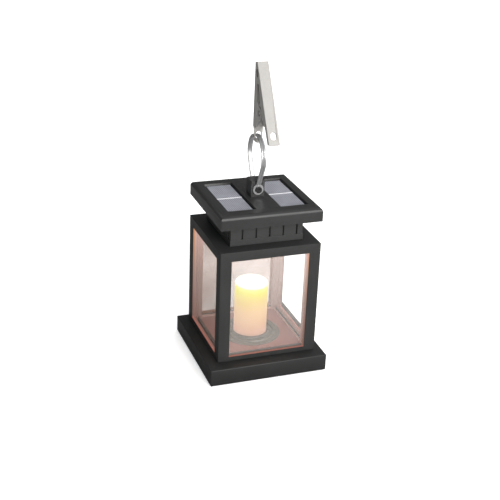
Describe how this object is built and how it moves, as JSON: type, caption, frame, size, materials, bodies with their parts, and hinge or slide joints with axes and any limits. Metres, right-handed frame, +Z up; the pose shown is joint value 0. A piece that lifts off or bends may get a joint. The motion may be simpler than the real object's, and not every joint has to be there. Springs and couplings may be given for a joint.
{
  "type": "solar garden lantern",
  "caption": "Square lantern with a lit candle behind clear panes, solar cells in its roof, and a hanging bail that carries a spring clip.",
  "frame": {"origin": "centre of the square on which the rubber feet stand", "axes": "+Z up; the front window faces -Y; +X to the right as seen from the front"},
  "size_m": [0.086, 0.086, 0.2166],
  "materials": {
    "black_plastic": "satin moulded plastic",
    "zinc_steel": "zinc plated",
    "rubber": "matte",
    "floor_plastic": "satin",
    "dish_plastic": "satin",
    "candle_plastic": "translucent wax look",
    "clear_acrylic": "clear",
    "holder_plastic": "matte",
    "battery_sleeve": "shrink sleeve",
    "board_laminate": "solder mask",
    "led_epoxy": "clear epoxy",
    "panel_laminate": "gloss",
    "solar_cell": "encapsulated silicon",
    "silver_busbar": "satin",
    "red_wire": "insulation",
    "black_wire": "insulation",
    "spring_steel": "polished",
    "plated_steel": "satin nickel plate"
  },
  "bodies": {
    "lantern": {"base_plate": "black_plastic", "base_cover": "black_plastic", "base_screws": "zinc_steel", "rubber_feet": "rubber", "frame_screws": "zinc_steel", "floor_tray": "floor_plastic", "sill_beads": "black_plastic", "candle_dish": "dish_plastic", "candle": "candle_plastic", "lantern_frame": "black_plastic", "pane_front": "clear_acrylic", "pane_back": "clear_acrylic", "pane_left": "clear_acrylic", "pane_right": "clear_acrylic", "neck_housing": "black_plastic", "neck_screws": "zinc_steel", "battery_holder": "holder_plastic", "battery_cell": "battery_sleeve", "battery_contacts": "zinc_steel", "circuit_board": "board_laminate", "board_screws": "zinc_steel", "led_lamp": "led_epoxy", "roof_cap": "black_plastic", "roof_seal": "rubber", "roof_screws": "zinc_steel", "panel_board_left": "panel_laminate", "panel_board_right": "panel_laminate", "solar_cell_left": "solar_cell", "solar_cell_right": "solar_cell", "solar_busbars": "silver_busbar", "wires_red": "red_wire", "wires_black": "black_wire", "switch_body": "holder_plastic", "bail_screws": "zinc_steel"},
    "switch_slider": {"switch_knob": "holder_plastic"},
    "bail": {"bail_loop": "spring_steel"},
    "clip": {"clip_rear_lever": "plated_steel", "clip_pin": "plated_steel", "clip_spring": "spring_steel"},
    "front_jaw": {"clip_front_lever": "plated_steel", "clip_spring_arm": "spring_steel"}
  },
  "joints": [
    {"name": "switch_slide", "type": "slide", "parent": "lantern", "child": "switch_slider", "axis": [0, 1, 0], "range_m": [0, 0.002]},
    {"name": "bail_swing", "type": "hinge", "parent": "lantern", "child": "bail", "pos_m": [0, 0, 0.1282], "axis": [0, 1, 0], "range_deg": [-85, 85]},
    {"name": "clip_swing", "type": "hinge", "parent": "bail", "child": "clip", "pos_m": [0, -0.001, 0.1658], "axis": [0, 1, 0], "range_deg": [-60, 60]},
    {"name": "jaw_open", "type": "hinge", "parent": "clip", "child": "front_jaw", "pos_m": [0, -0.0112, 0.1836], "axis": [1, 0, 0], "range_deg": [0, 20], "stiffness_Nm_per_rad": 0.15, "springref_deg": -34.38}
  ]
}
